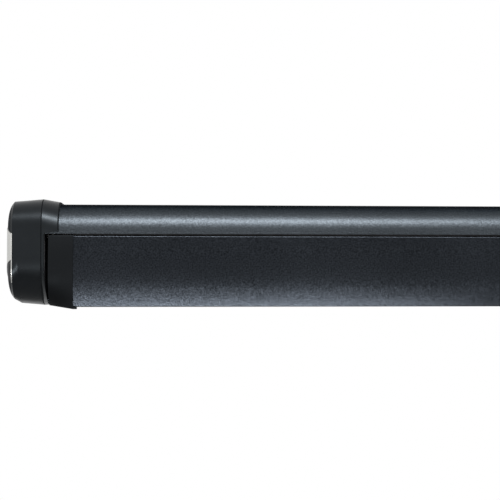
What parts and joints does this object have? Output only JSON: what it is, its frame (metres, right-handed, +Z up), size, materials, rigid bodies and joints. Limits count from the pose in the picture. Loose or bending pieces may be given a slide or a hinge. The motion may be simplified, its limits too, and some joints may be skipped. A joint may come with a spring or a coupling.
{
  "type": "roll out awning",
  "caption": "Wall-hung roll out awning: slim cassette with domed end caps, crank-driven canopy roller, folding spring arms, lead rail and fold-down telescopic legs.",
  "frame": {"origin": "on the vehicle's wall plane, in the middle of the centre wall bracket's bolt holes", "axes": "+X along the awning, to the right as seen from outside; -Y out from the wall; +Z up"},
  "size_m": [2.5994, 0.0986, 0.1489],
  "materials": {
    "case_paint": "fine-textured anthracite powder coat with a metallic sparkle",
    "cap_plastic": "moulded plastic painted to match the case",
    "insert_silver": "satin silver",
    "black_plastic": "fine-grained black moulding",
    "lever_plastic": "grey moulding",
    "bearing_nylon": "natural nylon",
    "seal_rubber": "extruded rubber",
    "foot_rubber": "moulded rubber",
    "cast_alloy": "painted die casting",
    "arm_paint": "anthracite powder coat",
    "bare_alloy": "mill-finished extrusion",
    "leg_alloy": "anodised",
    "zinc_steel": "zinc plated",
    "spring_steel": "oiled spring wire",
    "strap_steel": "link strap",
    "gear_brass": "cut",
    "canopy_fabric": "woven canopy cloth, grey"
  },
  "bodies": {
    "cassette": {"case_profile": "case_paint", "case_lip_seal": "seal_rubber", "left_end_plate": "cast_alloy", "right_end_plate": "cast_alloy", "left_end_cap": "cap_plastic", "right_end_cap": "cap_plastic", "cap_inserts": "insert_silver", "roller_bushes": "bearing_nylon", "gearbox_housing": "black_plastic", "shoulder_brackets": "cast_alloy", "shoulder_fasteners": "zinc_steel", "wall_brackets": "bare_alloy", "case_screws": "zinc_steel"},
    "roller": {"roller_tube": "bare_alloy", "fabric_roll": "canopy_fabric", "roller_idler_plug": "bearing_nylon", "roller_drive_plug": "bearing_nylon", "worm_wheel": "gear_brass"},
    "crank": {"crank_worm": "zinc_steel", "crank_eye": "cast_alloy"},
    "lead_rail": {"lead_rail_profile": "case_paint", "left_rail_end_cap": "black_plastic", "right_rail_end_cap": "black_plastic", "rail_fasteners": "zinc_steel", "canopy_keder": "canopy_fabric", "wrist_brackets": "cast_alloy", "leg_hangers": "zinc_steel", "leg_clips": "black_plastic"},
    "canopy": {"canopy": "canopy_fabric"},
    "left_upper_arm": {"left_upper_arm_tube": "arm_paint", "left_shoulder_knuckle": "cast_alloy", "left_elbow_fork": "cast_alloy", "left_elbow_pin": "zinc_steel", "left_arm_spring": "spring_steel"},
    "left_forearm": {"left_forearm_tube": "arm_paint", "left_elbow_tongue": "cast_alloy", "left_wrist_eye": "cast_alloy", "left_elbow_strap": "strap_steel"},
    "left_leg": {"left_leg_outer_tube": "leg_alloy", "left_leg_eye": "black_plastic", "left_leg_collar": "black_plastic"},
    "left_leg_extension": {"left_leg_inner_tube": "leg_alloy", "left_leg_foot": "foot_rubber"},
    "left_leg_lock": {"left_leg_lever": "lever_plastic"},
    "right_upper_arm": {"right_upper_arm_tube": "arm_paint", "right_shoulder_knuckle": "cast_alloy", "right_elbow_fork": "cast_alloy", "right_elbow_pin": "zinc_steel", "right_arm_spring": "spring_steel"},
    "right_forearm": {"right_forearm_tube": "arm_paint", "right_elbow_tongue": "cast_alloy", "right_wrist_eye": "cast_alloy", "right_elbow_strap": "strap_steel"},
    "right_leg": {"right_leg_outer_tube": "leg_alloy", "right_leg_eye": "black_plastic", "right_leg_collar": "black_plastic"},
    "right_leg_extension": {"right_leg_inner_tube": "leg_alloy", "right_leg_foot": "foot_rubber"},
    "right_leg_lock": {"right_leg_lever": "lever_plastic"}
  },
  "joints": [
    {"name": "left_shoulder", "type": "hinge", "parent": "cassette", "child": "left_upper_arm", "pos_m": [-1.19, -0.024, -0.027], "axis": [0, 0.0872, -0.9962], "range_deg": [0, 64.22]},
    {"name": "left_elbow", "type": "hinge", "parent": "left_upper_arm", "child": "left_forearm", "pos_m": [-0.0701, -0.03894, -0.02831], "axis": [0, 0.0872, -0.9962], "range_deg": [-128.45, 0]},
    {"name": "left_wrist", "type": "hinge", "parent": "left_forearm", "child": "lead_rail", "pos_m": [-1.19, -0.05389, -0.02961], "axis": [0, 0.0872, -0.9962], "range_deg": [0, 64.23]},
    {"name": "right_shoulder", "type": "hinge", "parent": "cassette", "child": "right_upper_arm", "pos_m": [1.19, -0.024, -0.027], "axis": [0, 0.0872, -0.9962], "range_deg": [-64.23, 0]},
    {"name": "right_elbow", "type": "hinge", "parent": "right_upper_arm", "child": "right_forearm", "pos_m": [0.0701, -0.03894, -0.02831], "axis": [0, 0.0872, -0.9962], "range_deg": [0, 128.45]},
    {"name": "roller_spin", "type": "hinge", "parent": "cassette", "child": "roller", "pos_m": [0, -0.037, 0.0275], "axis": [1, 0, 0], "range_deg": [-4497.51, 0]},
    {"name": "crank_turn", "type": "hinge", "parent": "cassette", "child": "crank", "pos_m": [1.2752, -0.05768, 0.03115], "axis": [0, -0.1736, -0.9848], "range_deg": [0, 31481.08]},
    {"name": "canopy_feed", "type": "slide", "parent": "cassette", "child": "canopy", "axis": [0, -0.9962, -0.0872], "range_m": [0, 2.0001], "deforming": ["canopy"]},
    {"name": "left_leg_fold", "type": "hinge", "parent": "lead_rail", "child": "left_leg", "pos_m": [-1.205, -0.0816, -0.039], "axis": [0, 1, 0], "range_deg": [0, 90]},
    {"name": "left_leg_telescope", "type": "slide", "parent": "left_leg", "child": "left_leg_extension", "axis": [1, 0, 0], "range_m": [0, 1]},
    {"name": "left_leg_lock_lever", "type": "hinge", "parent": "left_leg", "child": "left_leg_lock", "pos_m": [-0.092, -0.0816, -0.0529], "axis": [0, 1, 0], "range_deg": [0, 75]},
    {"name": "right_leg_fold", "type": "hinge", "parent": "lead_rail", "child": "right_leg", "pos_m": [1.205, -0.0816, -0.007], "axis": [0, -1, 0], "range_deg": [0, 90]},
    {"name": "right_leg_telescope", "type": "slide", "parent": "right_leg", "child": "right_leg_extension", "axis": [-1, 0, 0], "range_m": [0, 1]},
    {"name": "right_leg_lock_lever", "type": "hinge", "parent": "right_leg", "child": "right_leg_lock", "pos_m": [0.092, -0.0816, -0.0209], "axis": [0, -1, 0], "range_deg": [0, 75]}
  ],
  "couplings": [
    {"joint": "left_elbow", "follows": "left_shoulder", "ratio": -2},
    {"joint": "left_wrist", "follows": "left_shoulder", "ratio": 1},
    {"joint": "right_shoulder", "follows": "left_shoulder", "ratio": -1},
    {"joint": "right_elbow", "follows": "left_shoulder", "ratio": 2},
    {"joint": "roller_spin", "follows": "left_shoulder", "ratio": -70.02},
    {"joint": "crank_turn", "follows": "left_shoulder", "ratio": 490.14},
    {"joint": "canopy_feed", "follows": "left_shoulder", "m_per_rad": 1.7842}
  ]
}
